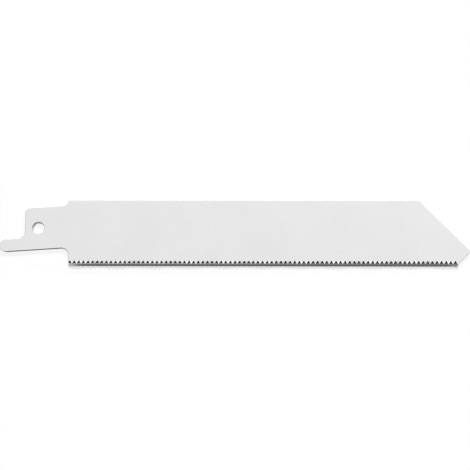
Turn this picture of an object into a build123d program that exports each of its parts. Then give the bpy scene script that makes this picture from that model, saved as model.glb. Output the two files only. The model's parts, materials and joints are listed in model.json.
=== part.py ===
"""Reciprocating saw blade: one stamped steel strip with a stepped tang, a tang hole and a wavy-set toothed edge.

Millimetres. The blade lies flat, +Z up out of its face, +X from the tang to the point, +Y towards the back.
The origin is on the axis of the tang hole, in the plane of the underside.
"""

import os
from math import cos, pi, radians, sin, tan

from build123d import *

# Strip
blade_thickness = 0.9
blade_width = 19.4
back_above_hole = 8.5
edge_round = 0.12

# Nose
point_reach = 132.1
nose_slope = 45.0
point_above_tips = 3.85
back_corner_radius = 0.8
point_radius = 0.35
heel_radius = 0.3

# Tang: it hangs down by tang_cant, and its hole sits a little above its middle line
shoulder_reach = 9.3
tang_width = 12.7
tang_cant = 3.8
hole_diameter = 3.7
hole_above_middle = 0.15
head_reach = 4.05
head_corner_radius = 1.4
upper_shoulder_run = 1.95
lower_shoulder_radius = 2.2
shoulder_corner_radius = 0.2

# Tail of the tang
tail_reach = 11.75
tail_width = 3.66
tail_root_radius = 2.3

# Teeth: near-symmetric V teeth that lean a little towards the tang
tooth_pitch = 1.4
tooth_face_angle = 27.0
tooth_back_angle = 33.0
tip_land = 0.08
gullet_radius = 0.15
first_gullet_inset = 0.45
bend_below_root = 0.1

# Wavy set: the tips swing from side to side along the edge
set_per_side = 0.12
teeth_per_wave = 8

# Rooms for cuts
cut_margin = 1.0
notch_overrun = 0.02

# Largest share of the lower shoulder's step that its round may take
lower_shoulder_share = 0.8

# Heights and places that follow
back_y = back_above_hole
tips_y = back_y - blade_width
point_y = tips_y + point_above_tips
slope_start_x = point_reach - (back_y - point_y) / tan(radians(nose_slope))
heel_x = point_reach - point_above_tips / tan(radians(nose_slope))

tang_top = tang_width / 2 - hole_above_middle
tang_bottom = -tang_width / 2 - hole_above_middle
tail_top = tang_bottom + tail_width
tail_round = tail_width / 2

face_run = tan(radians(tooth_face_angle))
back_run = tan(radians(tooth_back_angle))
apex_height = (tooth_pitch - tip_land) / (face_run + back_run)
notch_height = apex_height + notch_overrun
half_gullet = radians(tooth_face_angle + tooth_back_angle) / 2
tooth_depth = apex_height - gullet_radius * (1 / sin(half_gullet) - 1)
bend_y = tips_y + tooth_depth - bend_below_root
first_gullet_x = shoulder_reach + first_gullet_inset
gullet_count = 1 + int((heel_x - first_gullet_x) / tooth_pitch)
last_gullet_x = first_gullet_x + (gullet_count - 1) * tooth_pitch


def tang_y(x, across):
    """Height, at x, of a line that runs along the canted tang at a distance across from the hole."""
    return x * tan(radians(tang_cant)) + across / cos(radians(tang_cant))


def nearest(corners, point):
    """The corner that lies closest to a point of the outline."""
    return corners.sort_by_distance((*point, 0))[0]


# Corners of the stamped outline, from the tail's lower side round to its upper side
tail_centre_x = tail_round - tail_reach
tail_centre = Vector(tail_centre_x, tang_y(tail_centre_x, tail_top - tail_round))
tail_half = Vector(0, tail_round).rotate(Axis.Z, tang_cant)
tail_lower = tail_centre - tail_half
tail_upper = tail_centre + tail_half
lower_shoulder = (shoulder_reach, tang_y(shoulder_reach, tang_bottom))
edge_start = (shoulder_reach, tips_y)
heel = (heel_x, tips_y)
point = (point_reach, point_y)
back_corner = (slope_start_x, back_y)
shoulder_corner = (shoulder_reach, back_y)
head_corner = (-head_reach, tang_y(-head_reach, tang_top))
tail_root = (-head_reach, tang_y(-head_reach, tail_top))

# The upper shoulder is one arc from the tang's upper edge to the back's corner, a quarter turn at most
upper_step = back_y - tang_y(shoulder_reach, tang_top)
upper_arc_x = shoulder_reach - max(upper_shoulder_run, upper_step)
upper_arc_start = (upper_arc_x, tang_y(upper_arc_x, tang_top))
tang_direction = Vector(1, 0).rotate(Axis.Z, tang_cant)

# The lower shoulder is rounded as far as its step leaves room
lower_step = lower_shoulder[1] - tips_y - tooth_depth
lower_shoulder_round = min(lower_shoulder_radius, lower_shoulder_share * lower_step)
corner_radii = [
    (lower_shoulder, lower_shoulder_round),
    (heel, heel_radius),
    (point, point_radius),
    (back_corner, back_corner_radius),
    (shoulder_corner, shoulder_corner_radius),
    (head_corner, head_corner_radius),
    (tail_root, tail_root_radius),
]

with BuildPart() as blade:
    # Flat blank with its stamped edges rounded
    with BuildSketch() as blank:
        with BuildLine():
            Polyline(
                tail_lower,
                lower_shoulder,
                edge_start,
                heel,
                point,
                back_corner,
                shoulder_corner,
            )
            TangentArc(upper_arc_start, shoulder_corner, tangent=tang_direction)
            Polyline(upper_arc_start, head_corner, tail_root, tail_upper)
            TangentArc(tail_upper, tail_lower, tangent=-tang_direction)
        make_face()
        for corner, radius in corner_radii:
            fillet(nearest(blank.vertices(), corner), radius)
    extrude(amount=blade_thickness)
    toothed_edges = blade.edges().filter_by(Axis.X).group_by(Axis.Y)[0]
    fillet(blade.edges().filter_by(Plane.XY) - toothed_edges, edge_round)
    Hole(hole_diameter / 2)

    # The strip along the teeth is bent tooth by tooth, from a line just below the gullet roots
    with BuildSketch():
        with Locations((first_gullet_x, bend_y)):
            Rectangle(
                last_gullet_x - first_gullet_x,
                tooth_depth + cut_margin,
                align=(Align.MIN, Align.MAX),
            )
    extrude(amount=blade_thickness, mode=Mode.SUBTRACT)
    for tooth in range(gullet_count - 1):
        swing = set_per_side * sin(2 * pi * tooth / teeth_per_wave)
        with BuildSketch(Plane.YZ.offset(first_gullet_x + tooth * tooth_pitch)):
            with BuildLine():
                Polyline(
                    (bend_y, 0),
                    (tips_y, swing),
                    (tips_y, swing + blade_thickness),
                    (bend_y, blade_thickness),
                    close=True,
                )
            make_face()
    extrude(amount=tooth_pitch)

    # Gullets: V notches with round roots, cut a little past the tips so that narrow lands stay
    with BuildSketch(mode=Mode.PRIVATE) as notch:
        with BuildLine():
            Polyline(
                (0, apex_height),
                (-notch_height * back_run, -notch_overrun),
                (notch_height * face_run, -notch_overrun),
                close=True,
            )
        make_face()
        fillet(notch.vertices().sort_by(Axis.Y)[-1], gullet_radius)
    with BuildSketch():
        with Locations(*[(first_gullet_x + n * tooth_pitch, tips_y) for n in range(gullet_count)]):
            add(notch.sketch)
    extrude(amount=blade_thickness + cut_margin, both=True, mode=Mode.SUBTRACT)

blade.part.label = "blade"
os.makedirs("parts", exist_ok=True)
export_step(blade.part, "parts/blade.step")
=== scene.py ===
import json
from math import atan2, cos, pi, radians, sin, tan

import bpy
from mathutils import Matrix, Vector


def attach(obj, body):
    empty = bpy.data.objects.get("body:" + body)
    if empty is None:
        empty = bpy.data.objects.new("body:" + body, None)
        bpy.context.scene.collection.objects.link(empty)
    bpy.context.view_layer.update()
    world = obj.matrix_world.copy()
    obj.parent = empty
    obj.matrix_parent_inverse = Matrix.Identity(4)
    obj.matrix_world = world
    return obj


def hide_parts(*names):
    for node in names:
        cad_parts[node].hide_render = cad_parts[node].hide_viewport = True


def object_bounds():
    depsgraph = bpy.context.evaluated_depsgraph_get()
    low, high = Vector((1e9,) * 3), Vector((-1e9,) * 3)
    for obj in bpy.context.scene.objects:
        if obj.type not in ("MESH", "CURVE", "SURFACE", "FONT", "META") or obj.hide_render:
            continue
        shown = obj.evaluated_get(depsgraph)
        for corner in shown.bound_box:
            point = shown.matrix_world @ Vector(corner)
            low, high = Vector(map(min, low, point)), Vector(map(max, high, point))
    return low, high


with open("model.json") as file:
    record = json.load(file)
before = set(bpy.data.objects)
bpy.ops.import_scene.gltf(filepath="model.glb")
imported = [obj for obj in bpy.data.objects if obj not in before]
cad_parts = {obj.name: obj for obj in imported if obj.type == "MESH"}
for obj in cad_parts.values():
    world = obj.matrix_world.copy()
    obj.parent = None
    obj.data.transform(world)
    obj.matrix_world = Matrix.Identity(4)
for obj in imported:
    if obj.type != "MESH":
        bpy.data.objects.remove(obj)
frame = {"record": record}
cad_low, cad_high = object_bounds()

# The blade's own sizes, in metres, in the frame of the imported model
MM = 0.001
THICKNESS = 0.9 * MM
TIPS_Y = cad_low[1]
BACK_Y = cad_high[1]

# Nose
POINT_X = 132.1 * MM
POINT_ABOVE_TIPS = 3.85 * MM
POINT_Y = TIPS_Y + POINT_ABOVE_TIPS
NOSE_SLOPE = radians(45)
SLOPE_START_X = POINT_X - (BACK_Y - POINT_Y) / tan(NOSE_SLOPE)
HEEL_X = POINT_X - POINT_ABOVE_TIPS / tan(NOSE_SLOPE)
BACK_CORNER_RADIUS = 0.8 * MM
POINT_RADIUS = 0.35 * MM
HEEL_RADIUS = 0.3 * MM

# Tang and tail
SHOULDER_X = 9.3 * MM
TANG_WIDTH = 12.7 * MM
TANG_CANT = radians(3.8)
HOLE_ABOVE_MIDDLE = 0.15 * MM
TANG_TOP = TANG_WIDTH / 2 - HOLE_ABOVE_MIDDLE
TANG_BOTTOM = -TANG_WIDTH / 2 - HOLE_ABOVE_MIDDLE
HEAD_X = -4.05 * MM
HEAD_CORNER_RADIUS = 1.4 * MM
UPPER_SHOULDER_RUN = 1.95 * MM
LOWER_SHOULDER_RADIUS = 2.2 * MM
SHOULDER_CORNER_RADIUS = 0.2 * MM
TAIL_X = cad_low[0]
TAIL_WIDTH = 3.66 * MM
TAIL_ROUND = TAIL_WIDTH / 2
TAIL_ROOT_RADIUS = 2.3 * MM
HOLE_RADIUS = MM * next(
    mount["dims"]["r_mm"] for mount in frame["record"]["mounts"] if mount["name"] == "tang_hole"
)

# Teeth and their wavy set
PITCH = 1.4 * MM
TOOTH_FACE_ANGLE = radians(27)
TOOTH_BACK_ANGLE = radians(33)
TIP_LAND = 0.08 * MM
GULLET_RADIUS = 0.15 * MM
FIRST_GULLET_INSET = 0.45 * MM
BEND_BELOW_ROOT = 0.1 * MM
SET_PER_SIDE = 0.12 * MM
TEETH_PER_WAVE = 8

# Heights and places along the edge that follow
FACE_RUN = tan(TOOTH_FACE_ANGLE)
BACK_RUN = tan(TOOTH_BACK_ANGLE)
HALF_GULLET = (TOOTH_FACE_ANGLE + TOOTH_BACK_ANGLE) / 2
APEX_HEIGHT = (PITCH - TIP_LAND) / (FACE_RUN + BACK_RUN)
APEX_Y = TIPS_Y + APEX_HEIGHT
ROOT_Y = APEX_Y - GULLET_RADIUS * (1 / sin(HALF_GULLET) - 1)
BEND_Y = ROOT_Y - BEND_BELOW_ROOT
BEND_ABOVE_TIPS = BEND_Y - TIPS_Y
BEND_BELOW_APEX = APEX_Y - BEND_Y
FIRST_GULLET_X = SHOULDER_X + FIRST_GULLET_INSET
GULLETS = 1 + int((HEEL_X - FIRST_GULLET_X) / PITCH)
LAST_GULLET_X = FIRST_GULLET_X + (GULLETS - 1) * PITCH
ROW_END_X = LAST_GULLET_X + APEX_HEIGHT * FACE_RUN

# The round on the stamped rim, and the shares of it that the milled gullets and the punched hole get
STAMPED_ROUND = 0.12 * MM
MILLED_SHARE = 0.2
PUNCHED_SHARE = 0.35

# How finely rounds are divided
ARC_STEP = radians(6)
TAIL_STEPS = 32
HOLE_STEPS = 96
RIM_STEPS = 3

# What counts as one point, as level, as a rim and as a corner
MERGE_DISTANCE = 2e-6
EDGE_TOLERANCE = 0.01 * MM
RIM_ANGLE = radians(60)
CORNER_ANGLE = radians(25)

# Noise patterns: waves to the metre, or along each axis where it is stretched, then detail and roughness
CLOUDS = (70, 3)
SPECKLE = (5200, 2, 0.6)
RAGGED_THIN_AND_SHADE = (1500, 2)
SHEAR_STREAKS = ((6000, 6000, 500), 3, 0.65)
RAGGED_TEAR = (900, 2)
CUTTER_MARKS = ((9000, 9000, 250), 2, 0.6)
SATIN_PATCHES = (1800, 2)
ORANGE_PEEL = (650, 1)
GRAIN = (7000, 1)
NOISE_SPAN = (0.3, 0.7)
STREAK_SPAN = (0.35, 0.7)

# The lacquer's white, how much it varies, and how much darker it is over the rims, partly thinned
# lacquer and partly painted shade
LACQUER = (0.8, 0.8, 0.798)
CLOUD_TONES = (0.985, 1.01)
SPECKLE_TONES = (0.985, 1.015)
RAGGED_SHARES = (0.85, 1.2)
THIN_AND_SHADED_SLOPE = 0.15
EDGE_TONE = 0.4

# The stamped walls: greys of the streaks, darker than the lacquer partly as painted shade, and the
# height above the underside from which the wall is torn
WALL_AND_SHADE_GREYS = (0.25, 0.36)
TORN_GREY = 0.42
TORN_SHARE = 0.5
TORN_HEIGHT = (0.45 * MM, 0.6 * MM)
TEAR_SWAY = 0.3 * MM
WALL_TURN = (0.2, 0.75)

# The milled gullets: greys of the bare steel, near-black in part as painted shade, and how metallic it
# looks
STEEL_AND_SHADE_GREYS = (0.022, 0.05)
STEEL_METALLIC = 0.5
GULLET_TURN = (0.55, 0.9)

# Gloss and relief
SHEEN = 0.4
SATIN_ROUGHNESS = (0.44, 0.52)
ROUGHER_WALL = 0.12
PEEL_DEPTH = 0.006 * MM
GRAIN_DEPTH = 0.0008 * MM
STREAK_DEPTH = 0.02 * MM

# How the photograph sees it: pixels of its 470 pixel side, and metres for one of them on the upper face
PHOTO_SIDE = 470
HOLE_PIXEL = (38.26, 228.42)
METRES_PER_PIXEL = 0.3055 * MM
VIEW_TILT = radians(5)
VIEW_ROLL = radians(0.09)
VIEW_DISTANCE = 0.36
SENSOR_WIDTH = 36.0
NEAREST_SEEN = 0.01

# The floor, which turns plain white between two distances from the line along the blade at Y = 0
FLOOR_Z = cad_low[2]
FLOOR_SIZE = 6.0
FLOOR_WHITE = 0.98
WHITE_DISTANCE = (12.6 * MM, 14.6 * MM)

# Where the floor keeps its lamp shadow along the teeth: where that starts and ends, and the height past
# which painted white covers it
TEETH_SHADE_START = (SHOULDER_X - 0.3 * MM, SHOULDER_X + 0.1 * MM)
TEETH_SHADE_END = (ROW_END_X, HEEL_X + 0.5 * MM)
TEETH_SHADE_HEIGHT = (1.3 * MM, 3.0 * MM)

# Painted light over that shadow: heights above the tips, and shares of painted white from the first
# tooth to the last
LINE_TOP = (-0.05 * MM, 0.05 * MM)
PAINTED_LINE_LIGHT = 0.1
PAINTED_LINE_END_LIGHT = (0.45, 0.3)
LINE_FADE = 4.0 * MM
MOUTH_TOP = (0.22 * MM, 0.34 * MM)
PAINTED_MOUTH_LIGHT = (0.4, 0.2)
SKIRT_EDGE = (-0.66 * MM, -0.54 * MM)
SKIRT_SHADE = 0.4

# The lamp shadow elsewhere, mostly painted out with white: faint, but kept in a thin line close to the
# tang's lower edge and round the hole
FAINT_SHADE = 0.1
CONTACT_WIDTH = (0.0, 0.25 * MM)
HOLE_SHADE_SHIFT = (0.15 * MM, -0.15 * MM, 0)

# The light
ROOM_LEVEL = 0.015
LAMP_PLACE = (0.55, 1.66, 1.04)
LAMP_AIM = (0.06, 0, 0)
LAMP_SIZE = (1.75, 0.2)
LAMP_POWER = 86.0


def arc(centre, start, turn, steps=None):
    """Points of an arc about a centre, from its start to where a turn ends, both included."""
    steps = steps or max(2, round(abs(turn) / ARC_STEP))
    return [
        centre + Matrix.Rotation(turn * n / steps, 2) @ (start - centre)
        for n in range(steps + 1)
    ]


def rounded(corner, before, after, radius):
    """Points of the arc that rounds a corner between its neighbours, or the corner itself."""
    if radius == 0:
        return [corner]
    arrive = (corner - before).normalized()
    leave = (after - corner).normalized()
    turn = atan2(arrive.cross(leave), arrive.dot(leave))
    side = 1 if turn > 0 else -1
    start = corner - arrive * radius * tan(abs(turn) / 2)
    centre = start + Vector((-arrive.y, arrive.x)) * radius * side
    return arc(centre, start, turn)


def rounded_path(corners):
    """Points along a path of (x, y, radius) corners whose two ends stay as they are."""
    places = [Vector(corner[:2]) for corner in corners]
    points = [places[0]]
    for before, corner, after, (_, _, radius) in zip(places, places[1:], places[2:], corners[1:]):
        points += rounded(corner, before, after, radius)
    return points + [places[-1]]


def tangent_arc(start, end, direction):
    """Points after the start, along the arc that leaves it in a direction and ends at the end."""
    chord = end - start
    turn = 2 * atan2(direction.cross(chord), direction.dot(chord))
    radius = chord.length / (2 * sin(turn / 2))
    centre = start + Vector((-direction.y, direction.x)) * radius
    return arc(centre, start, turn)[1:]


def tang_y(x, across):
    """Height, at x, of a line that runs along the canted tang at a distance across from the hole."""
    return x * tan(TANG_CANT) + across / cos(TANG_CANT)


def chain_mesh(name, chains):
    """A mesh of edges only: each chain is (points, closed)."""
    points, edges = [], []
    for chain, closed in chains:
        first = len(points)
        points += [(p[0], p[1], 0.0) for p in chain]
        edges += [(n, n + 1) for n in range(first, len(points) - 1)]
        if closed:
            edges.append((len(points) - 1, first))
    mesh = bpy.data.meshes.new(name)
    mesh.from_pydata(points, edges, [])
    return mesh


def upper_shoulder():
    """The arc from the tang's upper edge to the back's corner: its start, and the points after it."""
    step = BACK_Y - tang_y(SHOULDER_X, TANG_TOP)
    start_x = SHOULDER_X - max(UPPER_SHOULDER_RUN, step)
    start = Vector((start_x, tang_y(start_x, TANG_TOP)))
    direction = Vector((cos(TANG_CANT), sin(TANG_CANT)))
    return start, tangent_arc(start, Vector((SHOULDER_X, BACK_Y)), direction)


def make_blank_outline():
    """The stamped outline without its repeated gullets, and the tang hole, as edges at the underside."""
    arc_start, shoulder = upper_shoulder()

    # The corner's own round takes the place of the arc's last two points
    shoulder = shoulder[:-2]
    nose = rounded_path([
        (LAST_GULLET_X + BEND_BELOW_APEX * FACE_RUN, BEND_Y, 0),
        (ROW_END_X, TIPS_Y, 0),
        (HEEL_X, TIPS_Y, HEEL_RADIUS),
        (POINT_X, POINT_Y, POINT_RADIUS),
        (SLOPE_START_X, BACK_Y, BACK_CORNER_RADIUS),
        (SHOULDER_X, BACK_Y, SHOULDER_CORNER_RADIUS),
        (*shoulder[-1], 0),
    ])

    tail_x = TAIL_X + TAIL_ROUND
    tail_centre = Vector((tail_x, tang_y(tail_x, TANG_BOTTOM + TAIL_ROUND)))
    tail_half = Matrix.Rotation(TANG_CANT, 2) @ Vector((0, TAIL_ROUND))
    tail = arc(tail_centre, tail_centre + tail_half, pi, TAIL_STEPS)
    head = rounded_path([
        (*arc_start, 0),
        (HEAD_X, tang_y(HEAD_X, TANG_TOP), HEAD_CORNER_RADIUS),
        (HEAD_X, tang_y(HEAD_X, TANG_BOTTOM + TAIL_WIDTH), TAIL_ROOT_RADIUS),
        (*tail[0], 0),
    ])
    below = rounded_path([
        (*tail[-1], 0),
        (SHOULDER_X, tang_y(SHOULDER_X, TANG_BOTTOM), LOWER_SHOULDER_RADIUS),
        (SHOULDER_X, APEX_Y - FIRST_GULLET_INSET / BACK_RUN, 0),
        (FIRST_GULLET_X, APEX_Y, GULLET_RADIUS),
        (FIRST_GULLET_X + BEND_BELOW_APEX * FACE_RUN, BEND_Y, 0),
    ])
    outline = nose + shoulder[-2::-1] + head + tail[1:-1] + below
    hole = arc(Vector((0, 0)), Vector((HOLE_RADIUS, 0)), 2 * pi, HOLE_STEPS)[:-1]
    return chain_mesh("blank_outline", [(outline, False), (hole, True)])


def make_repeat(name, mesh):
    """An object that holds one repeated piece of the edge, placed at the tips below a gullet's apex."""
    repeat = bpy.data.objects.new(name, mesh)
    bpy.context.scene.collection.objects.link(repeat)
    return repeat


def make_gullet_root():
    """The edge's line above the bend: across one tooth and round one gullet's root."""
    points = rounded_path([
        (BEND_BELOW_APEX * FACE_RUN - PITCH, BEND_ABOVE_TIPS, 0),
        (-BEND_BELOW_APEX * BACK_RUN, BEND_ABOVE_TIPS, 0),
        (0, APEX_HEIGHT, GULLET_RADIUS),
        (BEND_BELOW_APEX * FACE_RUN, BEND_ABOVE_TIPS, 0),
    ])
    return make_repeat("gullet_root", chain_mesh("gullet_root", [(points, False)]))


def make_tooth():
    """One tooth below the bend, from the gullet behind it to the gullet at the origin, with its land."""
    corners = [
        (BEND_BELOW_APEX * FACE_RUN - PITCH, BEND_ABOVE_TIPS, 0),
        (APEX_HEIGHT * FACE_RUN - PITCH, 0, 0),
        (-APEX_HEIGHT * BACK_RUN, 0, 0),
        (-BEND_BELOW_APEX * BACK_RUN, BEND_ABOVE_TIPS, 0),
    ]
    mesh = bpy.data.meshes.new("tooth")
    mesh.from_pydata(corners, [], [(0, 1, 2, 3)])
    return make_repeat("tooth", mesh)


class Tree:
    """Short words for building a node tree: add a node, link sockets and chain arithmetic."""

    def __init__(self, tree):
        self.tree = tree

    def give(self, socket, value):
        """Links a socket to the output it is given, or sets it to a plain value."""
        if isinstance(value, bpy.types.NodeSocket):
            self.tree.links.new(value, socket)
        else:
            socket.default_value = value

    def add(self, kind, inputs=(), **settings):
        """A new node with its settings and its inputs."""
        node = self.tree.nodes.new(kind)
        for name, value in settings.items():
            setattr(node, name, value)
        for name, value in dict(inputs).items():
            self.give(node.inputs[name], value)
        return node

    def math(self, operation, *values):
        """One operation on one or two numbers."""
        kind = "ShaderNodeMath"
        return self.add(kind, dict(enumerate(values)), operation=operation).outputs[0]

    def chained(self, operation, first, others):
        """One operation over several numbers, in their order."""
        for other in others:
            first = self.math(operation, first, other)
        return first

    def least(self, first, *others):
        """The smallest of several numbers."""
        return self.chained("MINIMUM", first, others)

    def most(self, first, *others):
        """The largest of several numbers."""
        return self.chained("MAXIMUM", first, others)

    def times(self, first, *others):
        """Several numbers multiplied."""
        return self.chained("MULTIPLY", first, others)

    def plus(self, a, b):
        return self.math("ADD", a, b)

    def minus(self, a, b):
        return self.math("SUBTRACT", a, b)

    def gap(self, a, b):
        """How far one number lies from another, either way."""
        return self.math("ABSOLUTE", self.minus(a, b))

    def vector(self, **parts):
        """A vector of the parts X, Y and Z that are given, and zero elsewhere."""
        return self.add("ShaderNodeCombineXYZ", parts).outputs[0]

    def parts(self, vector):
        """The parts X, Y and Z of a vector."""
        return self.add("ShaderNodeSeparateXYZ", {"Vector": vector}).outputs

    def length(self, vector):
        return self.add("ShaderNodeVectorMath", {0: vector}, operation="LENGTH").outputs["Value"]

    def ramp(self, value, low, high, to_low=0.0, to_high=1.0):
        """A number eased from one level to another while a value runs from low to high."""
        inputs = {"Value": value, "From Min": low, "From Max": high, "To Min": to_low, "To Max": to_high}
        return self.add("ShaderNodeMapRange", inputs, interpolation_type="SMOOTHSTEP").outputs[0]

    def noise(self, place, waves, detail, roughness=0.5):
        """Soft noise between 0 and 1, with so many waves to the metre, or so many along each axis."""
        if isinstance(waves, tuple):
            place = self.add("ShaderNodeMapping", {"Vector": place, "Scale": waves}).outputs[0]
            waves = 1.0
        inputs = {"Vector": place, "Scale": waves, "Detail": detail, "Roughness": roughness}
        return self.add("ShaderNodeTexNoise", inputs).outputs[0]

    def blend(self, share, a, b):
        """A colour, part of the way from one to the other."""
        mix = self.add("ShaderNodeMix", data_type="RGBA")
        for name, value in (("Factor", share), ("A", a), ("B", b)):
            self.give(mix.inputs[name], value)
        return mix.outputs["Result"]

    def compare(self, operation, a, b):
        """A yes or no field from two numbers, in a geometry tree."""
        inputs = {0: a, 1: b}
        return self.add("FunctionNodeCompare", inputs, operation=operation, data_type="FLOAT").outputs[0]

    def both(self, a, b):
        return self.add("FunctionNodeBooleanMath", {0: a, 1: b}, operation="AND").outputs[0]

    def chosen(self, when, true, false):
        """One of two numbers, by a yes or no field, in a geometry tree."""
        inputs = {"Switch": when, "True": true, "False": false}
        return self.add("GeometryNodeSwitch", inputs, input_type="FLOAT").outputs[0]

    def joined(self, a, b):
        """Two geometries in one, with the points that they share merged."""
        join = self.add("GeometryNodeJoinGeometry")
        self.give(join.inputs[0], b)
        self.give(join.inputs[0], a)
        inputs = {"Geometry": join.outputs[0], "Distance": MERGE_DISTANCE}
        return self.add("GeometryNodeMergeByDistance", inputs).outputs[0]

    def row_of(self, piece, points):
        """A real copy of an object at each point."""
        info = self.add("GeometryNodeObjectInfo", {"Object": piece}, transform_space="ORIGINAL")
        inputs = {"Points": points, "Instance": info.outputs["Geometry"]}
        placed = self.add("GeometryNodeInstanceOnPoints", inputs)
        return self.add("GeometryNodeRealizeInstances", {"Geometry": placed.outputs[0]}).outputs[0]


def new_blade_group():
    """The empty node group of the blade, with its named inputs."""
    group = bpy.data.node_groups.new("wavy_set_blade", "GeometryNodeTree")
    panel = group.interface
    panel.new_socket("Geometry", in_out="INPUT", socket_type="NodeSocketGeometry")
    panel.new_socket("Gullet root", in_out="INPUT", socket_type="NodeSocketObject")
    panel.new_socket("Tooth", in_out="INPUT", socket_type="NodeSocketObject")
    panel.new_socket("Gullets", in_out="INPUT", socket_type="NodeSocketInt")
    for name in (
        "Pitch", "First gullet", "Row end", "Tips", "Bend line", "Gullet roots", "Thickness",
        "Set per side", "Teeth per wave", "Milled share", "Punched share", "Hole radius",
    ):
        panel.new_socket(name, in_out="INPUT", socket_type="NodeSocketFloat")
    panel.new_socket("Material", in_out="INPUT", socket_type="NodeSocketMaterial")
    panel.new_socket("Geometry", in_out="OUTPUT", socket_type="NodeSocketGeometry")
    return group


def toothed_sheet(t, given):
    """The flat sheet: the outline filled down to the bend, and the teeth below it."""

    # Each repeat belongs to a gullet and the tooth before it, from the second gullet on
    start = t.vector(X=t.plus(given["First gullet"], given["Pitch"]), Y=given["Tips"])
    step = t.vector(X=given["Pitch"])
    count = t.minus(given["Gullets"], 1.0)
    row = t.add("GeometryNodeMeshLine", {"Count": count, "Start Location": start, "Offset": step})
    roots = t.row_of(given["Gullet root"], row.outputs[0])
    teeth = t.row_of(given["Tooth"], row.outputs[0])
    outline = t.joined(roots, given["Geometry"])
    curve = t.add("GeometryNodeMeshToCurve", {"Mesh": outline})
    filled = t.add("GeometryNodeFillCurve", {"Curve": curve.outputs[0]}, mode="NGONS").outputs[0]
    return t.joined(filled, teeth)


def thickened(t, sheet, thickness):
    """Two flat faces and the wall between them."""
    raised = t.add(
        "GeometryNodeExtrudeMesh",
        {"Mesh": sheet, "Offset": t.vector(Z=thickness), "Offset Scale": 1.0, "Individual": False},
    )
    under = t.add("GeometryNodeFlipFaces", {"Mesh": sheet}).outputs[0]
    return t.joined(under, raised.outputs[0])


def with_rim_shares(t, given, solid):
    """Each rim edge's share of the stamped round, less on gullets and hole, and hard upright corners."""
    ends = t.add("GeometryNodeInputMeshEdgeVertices").outputs
    first, second = t.parts(ends["Position 1"]), t.parts(ends["Position 2"])
    rise = t.gap(first["Z"], second["Z"])
    angle = t.add("GeometryNodeInputMeshEdgeAngle").outputs["Unsigned Angle"]
    level = t.compare("LESS_THAN", rise, EDGE_TOLERANCE)
    rim = t.both(level, t.compare("GREATER_THAN", angle, RIM_ANGLE))

    # An edge of a gullet lies below the roots, in the row of teeth
    higher = t.most(first["Y"], second["Y"])
    in_depth = t.compare("LESS_THAN", higher, t.plus(given["Gullet roots"], EDGE_TOLERANCE))
    middle_x = t.times(t.plus(first["X"], second["X"]), 0.5)
    in_row = t.compare("LESS_THAN", middle_x, given["Row end"])
    hole_reach = t.plus(given["Hole radius"], EDGE_TOLERANCE)
    punched = t.compare("LESS_THAN", t.length(ends["Position 1"]), hole_reach)
    share = t.chosen(t.both(in_depth, in_row), given["Milled share"], 1.0)
    share = t.chosen(punched, given["Punched share"], share)
    weighted = t.add(
        "GeometryNodeStoreNamedAttribute",
        {"Geometry": solid, "Selection": rim, "Name": "bevel_weight_edge", "Value": share},
        data_type="FLOAT",
        domain="EDGE",
    )

    upright = t.compare("GREATER_THAN", rise, EDGE_TOLERANCE)
    corner = t.both(upright, t.compare("GREATER_THAN", angle, CORNER_ANGLE))
    return t.add(
        "GeometryNodeSetShadeSmooth",
        {"Geometry": weighted.outputs[0], "Selection": corner, "Shade Smooth": False},
        domain="EDGE",
    ).outputs[0]


def with_wavy_set(t, given, solid):
    """The teeth bent aside below the bend, each a little more or less than the one before it."""
    where = t.parts(t.add("GeometryNodeInputPosition").outputs[0])
    along = t.minus(where["X"], given["First gullet"])
    tooth = t.math("FLOOR", t.math("DIVIDE", along, given["Pitch"]))
    phase = t.times(t.math("DIVIDE", tooth, given["Teeth per wave"]), 2 * pi)
    swing = t.times(t.math("SINE", phase), given["Set per side"])
    bend_to_tips = t.minus(given["Bend line"], given["Tips"])
    below_bend = t.math("DIVIDE", t.minus(given["Bend line"], where["Y"]), bend_to_tips)
    lean = t.times(t.most(below_bend, 0.0), swing)

    # Teeth count from 0, and there is one fewer than there are gullets
    past_first = t.compare("GREATER_THAN", tooth, -0.5)
    up_to_last = t.compare("LESS_EQUAL", tooth, t.minus(given["Gullets"], 2.0))
    return t.add(
        "GeometryNodeSetPosition",
        {"Geometry": solid, "Selection": t.both(past_first, up_to_last), "Offset": t.vector(Z=lean)},
    ).outputs[0]


def wavy_set_tree():
    """Repeats the teeth along the edge, fills and thickens the outline, and swings each tooth aside."""
    group = new_blade_group()
    t = Tree(group)
    given = t.add("NodeGroupInput").outputs
    solid = thickened(t, toothed_sheet(t, given), given["Thickness"])
    swung = with_wavy_set(t, given, with_rim_shares(t, given, solid))
    real = t.add("GeometryNodeRealizeInstances", {"Geometry": swung})
    inputs = {"Geometry": real.outputs[0], "Material": given["Material"]}
    coated = t.add("GeometryNodeSetMaterial", inputs)
    t.add("NodeGroupOutput", {0: coated.outputs[0]})
    return group


def set_inputs(modifier, values):
    """Gives a Geometry Nodes modifier its inputs, by their sockets' identifiers."""
    sockets = modifier.node_group.interface.items_tree
    names = {s.name: s.identifier for s in sockets if s.item_type == "SOCKET" and s.in_out == "INPUT"}
    for name, value in values.items():
        modifier[names[name]] = value


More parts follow.
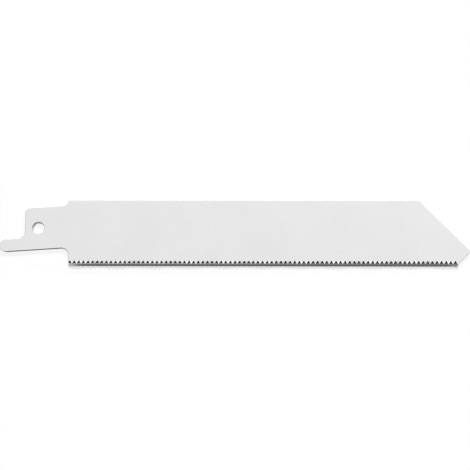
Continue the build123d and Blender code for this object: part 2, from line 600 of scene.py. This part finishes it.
def make_blade(material):
    """The dressed blade: the outline filled and set by its rule, with every rim rounded."""
    source = bpy.data.objects.new("blade_source", make_blank_outline())
    bpy.context.scene.collection.objects.link(source)
    gullet_root = make_gullet_root()
    tooth = make_tooth()
    teeth = source.modifiers.new("teeth", "NODES")
    teeth.node_group = wavy_set_tree()
    set_inputs(teeth, {
        "Gullet root": gullet_root,
        "Tooth": tooth,
        "Gullets": GULLETS,
        "Pitch": PITCH,
        "First gullet": FIRST_GULLET_X,
        "Row end": ROW_END_X,
        "Tips": TIPS_Y,
        "Bend line": BEND_Y,
        "Gullet roots": ROOT_Y,
        "Thickness": THICKNESS,
        "Set per side": SET_PER_SIDE,
        "Teeth per wave": float(TEETH_PER_WAVE),
        "Milled share": MILLED_SHARE,
        "Punched share": PUNCHED_SHARE,
        "Hole radius": HOLE_RADIUS,
        "Material": material,
    })
    rims = source.modifiers.new("rims", "BEVEL")
    rims.limit_method = "WEIGHT"
    rims.width = STAMPED_ROUND
    rims.segments = RIM_STEPS
    rims.use_clamp_overlap = False
    rims.harden_normals = True
    bpy.context.view_layer.update()
    seen = bpy.context.evaluated_depsgraph_get()
    finished = bpy.data.meshes.new_from_object(source.evaluated_get(seen), depsgraph=seen)
    finished.name = "lacquered_blade"
    blade = bpy.data.objects.new("lacquered_blade", finished)
    bpy.context.scene.collection.objects.link(blade)
    for helper in (source, gullet_root, tooth):
        bpy.data.objects.remove(helper)
    return blade


def grey(level):
    """A neutral colour."""
    return (level, level, level, 1)


def white_lacquer(t, place, flat):
    """Lacquer: cloudy in the large, speckled in the small, and darker over the rounded rims, partly
    thinner and partly painted shade.
    """
    clouds = t.ramp(t.noise(place, *CLOUDS), *NOISE_SPAN, *CLOUD_TONES)
    speckle = t.ramp(t.noise(place, *SPECKLE), *NOISE_SPAN, *SPECKLE_TONES)
    ragged = t.ramp(t.noise(place, *RAGGED_THIN_AND_SHADE), *NOISE_SPAN, *RAGGED_SHARES)
    # Darker over the rounded rims: partly thinner lacquer, partly painted shade, with a ragged edge
    slope = t.times(t.minus(1.0, flat), ragged)
    thin_and_shaded = t.ramp(slope, 0.0, THIN_AND_SHADED_SLOPE, 1.0, EDGE_TONE)
    tone = t.times(clouds, speckle, thin_and_shaded)
    inputs = {name: t.times(tone, level) for name, level in zip(("Red", "Green", "Blue"), LACQUER)}
    return t.add("ShaderNodeCombineColor", inputs).outputs[0]


def stamped_wall(t, place, height, streaks):
    """Stamped walls: the same lacquer, thinner and grey, the grey partly painted shade, streaked along
    the shear and paler where it tore.
    """
    sway = t.times(t.noise(place, *RAGGED_TEAR), TEAR_SWAY)
    torn = t.ramp(t.plus(height, sway), *TORN_HEIGHT)
    sheared = t.blend(t.ramp(streaks, *STREAK_SPAN), *map(grey, WALL_AND_SHADE_GREYS))
    return t.blend(t.times(torn, TORN_SHARE), sheared, grey(TORN_GREY))


def milled_part(t, where, flat):
    """How far a place belongs to the gullets' walls."""
    deep = t.math("LESS_THAN", where["Y"], ROOT_Y + EDGE_TOLERANCE)
    in_row = t.math("LESS_THAN", where["X"], ROW_END_X)
    past_shoulder = t.math("GREATER_THAN", where["X"], SHOULDER_X + EDGE_TOLERANCE)
    return t.times(deep, in_row, past_shoulder, t.ramp(flat, *GULLET_TURN, 1.0, 0.0))


def lacquered_steel():
    """Satin white lacquer, thin and grey over stamped edges and walls, with bare milled steel in the
    gullets; that grey and the steel's near-black are partly painted shade.
    """
    material = bpy.data.materials.new("lacquered_steel")
    material.use_nodes = True
    t = Tree(material.node_tree)
    shader = material.node_tree.nodes["Principled BSDF"].inputs
    shader["Specular IOR Level"].default_value = SHEEN
    coordinates = t.add("ShaderNodeTexCoord").outputs
    place = coordinates["Object"]
    where = t.parts(place)
    flat = t.math("ABSOLUTE", t.parts(coordinates["Normal"])["Z"])
    face = t.ramp(flat, *WALL_TURN)
    wall = t.minus(1.0, face)

    # Lacquer on the faces and walls, and dark steel with the marks of the cutter across the edge, its
    # near-black partly painted shade
    streaks = t.noise(place, *SHEAR_STREAKS)
    coated = t.blend(face, stamped_wall(t, place, where["Z"], streaks), white_lacquer(t, place, flat))
    marks = t.ramp(t.noise(place, *CUTTER_MARKS), *NOISE_SPAN)
    steel = t.blend(marks, *map(grey, STEEL_AND_SHADE_GREYS))
    milled = milled_part(t, where, flat)
    t.give(shader["Base Color"], t.blend(milled, coated, steel))
    t.give(shader["Metallic"], t.times(milled, STEEL_METALLIC))

    # Gloss and relief: orange peel and grain on the lacquer, streaks on the walls
    satin = t.ramp(t.noise(place, *SATIN_PATCHES), *NOISE_SPAN, *SATIN_ROUGHNESS)
    t.give(shader["Roughness"], t.plus(satin, t.times(wall, ROUGHER_WALL)))
    peel = t.times(t.noise(place, *ORANGE_PEEL), PEEL_DEPTH)
    grain = t.times(t.noise(place, *GRAIN), GRAIN_DEPTH)
    shear = t.times(streaks, STREAK_DEPTH, wall)
    relief = t.plus(t.plus(peel, grain), shear)
    t.give(shader["Normal"], t.add("ShaderNodeBump", {"Height": relief, "Distance": 1.0}).outputs[0])
    return material


def tang_gap(t, where):
    """How far a place on the floor lies from the tail's end, the tang's lower edge and its shoulder."""
    cos_cant, sin_cant = cos(TANG_CANT), sin(TANG_CANT)
    tail_along = (TAIL_X + TAIL_ROUND) / cos_cant
    tail_across = TANG_BOTTOM + TAIL_ROUND
    round_across = TANG_BOTTOM - LOWER_SHOULDER_RADIUS
    round_x = SHOULDER_X - LOWER_SHOULDER_RADIUS
    round_along = round_x * cos_cant + tang_y(round_x, round_across) * sin_cant
    along = t.plus(t.times(where["X"], cos_cant), t.times(where["Y"], sin_cant))
    across = t.minus(t.times(where["Y"], cos_cant), t.times(where["X"], sin_cant))

    # The tail's round end and the straight edge up to the shoulder
    past_tail = t.most(t.minus(tail_along, along), 0.0)
    from_tail = t.length(t.vector(X=past_tail, Y=t.minus(across, tail_across)))
    edge_gap = t.gap(from_tail, TAIL_ROUND)
    past_edge = t.minus(along, round_along)

    # The round of the lower shoulder, down to its end
    from_round = t.length(t.vector(X=t.most(past_edge, 0.0), Y=t.minus(across, round_across)))
    round_gap = t.gap(from_round, LOWER_SHOULDER_RADIUS)
    before_round = t.minus(round_along, along)
    below_round = t.minus(round_across, across)
    return t.least(t.most(edge_gap, past_edge), t.most(round_gap, before_round, below_round))


def hole_gap(t, place):
    """How far a place lies from a circle like the hole's, shifted down and towards the blade's point;
    the floor keeps its lamp shadow only near it and is painted white past it.
    """
    inputs = {0: place, 1: HOLE_SHADE_SHIFT}
    from_axis = t.add("ShaderNodeVectorMath", inputs, operation="SUBTRACT").outputs[0]
    return t.gap(HOLE_RADIUS, t.length(from_axis))


def teeth_shade(t, where):
    """How much lamp shadow the floor keeps along the teeth: dark in the gullets and in a line below the
    tips, lighter past it, with painted light in the gullets' mouths and along the line.
    """
    above_tips = t.minus(where["Y"], TIPS_Y)
    in_row = t.times(
        t.ramp(where["X"], *TEETH_SHADE_START),
        t.ramp(where["X"], *TEETH_SHADE_END, 1.0, 0.0),
        t.ramp(above_tips, *TEETH_SHADE_HEIGHT, 1.0, 0.0),
    )
    # Painted light: white mixed into the lamp shadow in the gullets' mouths and along the line below the
    # tips, more near its ends
    painted_mouth_light = t.ramp(where["X"], SHOULDER_X, HEEL_X, *PAINTED_MOUTH_LIGHT)
    painted_line_light = t.most(
        t.ramp(where["X"], SHOULDER_X, SHOULDER_X + LINE_FADE, PAINTED_LINE_END_LIGHT[0], PAINTED_LINE_LIGHT),
        t.ramp(where["X"], HEEL_X - LINE_FADE, HEEL_X, PAINTED_LINE_LIGHT, PAINTED_LINE_END_LIGHT[1]),
    )
    painted_light_share = t.least(
        t.ramp(above_tips, *LINE_TOP, painted_line_light, painted_mouth_light),
        t.ramp(above_tips, *MOUTH_TOP, painted_mouth_light, 0.0),
    )
    # Past the line the lamp shadow is painted lighter still, down to a share of it
    skirt = t.ramp(above_tips, *SKIRT_EDGE, SKIRT_SHADE, 1.0)
    return t.times(in_row, t.least(skirt, t.minus(1.0, painted_light_share)))


def painted_white_share(t):
    """How far the floor shows painted white over its lamp shadow: fully at a distance from the blade,
    and by place near it.
    """
    place = t.add("ShaderNodeTexCoord").outputs["Object"]
    where = t.parts(place)
    middle_x = (cad_low[0] + cad_high[0]) / 2
    half_length = (cad_high[0] - cad_low[0]) / 2
    past_end = t.minus(t.gap(where["X"], middle_x), half_length)
    away = t.length(t.vector(X=t.most(past_end, 0.0), Y=where["Y"]))
    near_edge = t.least(tang_gap(t, where), hole_gap(t, place))
    # Past a thin line at the tang and the hole, the lamp shadow is painted out with white, down to a
    # faint share
    close = t.ramp(near_edge, *CONTACT_WIDTH, 1.0, FAINT_SHADE)
    shade = t.most(teeth_shade(t, where), close)
    return t.most(t.ramp(away, *WHITE_DISTANCE), t.minus(1.0, shade))


def pale_floor():
    """A pale floor whose lamp shadow is painted over with white by place: kept close to the teeth, the
    tang and the hole, and only faint elsewhere.
    """
    bpy.ops.mesh.primitive_plane_add(size=FLOOR_SIZE, location=(0, 0, FLOOR_Z))
    floor = bpy.context.object
    floor.name = "floor"
    floor.data.transform(floor.matrix_world)
    floor.matrix_world.identity()
    material = bpy.data.materials.new("floor_white")
    material.use_nodes = True
    t = Tree(material.node_tree)
    nodes = material.node_tree.nodes
    shader = nodes["Principled BSDF"]
    shader.inputs["Base Color"].default_value = grey(FLOOR_WHITE)
    shader.inputs["Roughness"].default_value = 1.0
    shader.inputs["Specular IOR Level"].default_value = 0.0
    # Painted light: white emission, seen by the camera and in reflections, mixed over the lamp shadow by
    # place
    white = t.add("ShaderNodeEmission", {"Color": grey(1.0), "Strength": 1.0})
    path = t.add("ShaderNodeLightPath").outputs
    seen = t.most(path["Is Camera Ray"], path["Is Glossy Ray"])
    share = t.times(painted_white_share(t), seen)
    mixed = t.add("ShaderNodeMixShader", {0: share, 1: shader.outputs[0], 2: white.outputs[0]})
    t.give(nodes["Material Output"].inputs["Surface"], mixed.outputs[0])
    floor.data.materials.append(material)


def soft_light(name, place, size, power):
    """A long soft lamp aimed at the middle of the blade, which the lacquer doesn't mirror."""
    lamp = bpy.data.lights.new(name, "AREA")
    lamp.shape = "RECTANGLE"
    lamp.size, lamp.size_y = size
    lamp.energy = power
    holder = bpy.data.objects.new(name, lamp)
    aim = Vector(LAMP_AIM) - Vector(place)
    holder.location = place
    holder.visible_glossy = False
    holder.rotation_euler = aim.to_track_quat("-Z", "Y").to_euler()
    bpy.context.scene.collection.objects.link(holder)


def studio():
    """A weak even room light, and a long lamp beyond the back edge and a little towards the point."""
    world = bpy.data.worlds.new("studio")
    bpy.context.scene.world = world
    world.use_nodes = True
    t = Tree(world.node_tree)
    background = world.node_tree.nodes["Background"]
    background.inputs["Color"].default_value = grey(1.0)
    path = t.add("ShaderNodeLightPath").outputs
    seen = t.most(path["Is Camera Ray"], path["Is Glossy Ray"], path["Is Transmission Ray"])
    strength = t.plus(t.times(seen, 1 - ROOM_LEVEL), ROOM_LEVEL)
    t.give(background.inputs["Strength"], strength)
    soft_light("window_lamp", LAMP_PLACE, LAMP_SIZE, LAMP_POWER)


def camera():
    """Looks down on the blade from a little below its toothed edge, framed as in the photograph."""
    middle = PHOTO_SIDE / 2
    target = Vector((
        (middle - HOLE_PIXEL[0]) * METRES_PER_PIXEL,
        (HOLE_PIXEL[1] - middle) * METRES_PER_PIXEL,
        THICKNESS,
    ))
    back = Vector((0, -sin(VIEW_TILT), cos(VIEW_TILT)))
    lens = bpy.data.cameras.new("camera")
    lens.sensor_width = SENSOR_WIDTH
    lens.lens = SENSOR_WIDTH * VIEW_DISTANCE / (PHOTO_SIDE * METRES_PER_PIXEL)
    lens.clip_start = NEAREST_SEEN
    holder = bpy.data.objects.new("camera", lens)
    turn = back.to_track_quat("Z", "Y").to_matrix() @ Matrix.Rotation(VIEW_ROLL, 3, "Z")
    holder.matrix_world = Matrix.Translation(target + back * VIEW_DISTANCE) @ turn.to_4x4()
    bpy.context.scene.collection.objects.link(holder)
    bpy.context.scene.camera = holder


blade = make_blade(lacquered_steel())
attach(blade, "root")
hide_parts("blade")
pale_floor()
studio()
camera()
bpy.context.scene.view_settings.view_transform = "Standard"
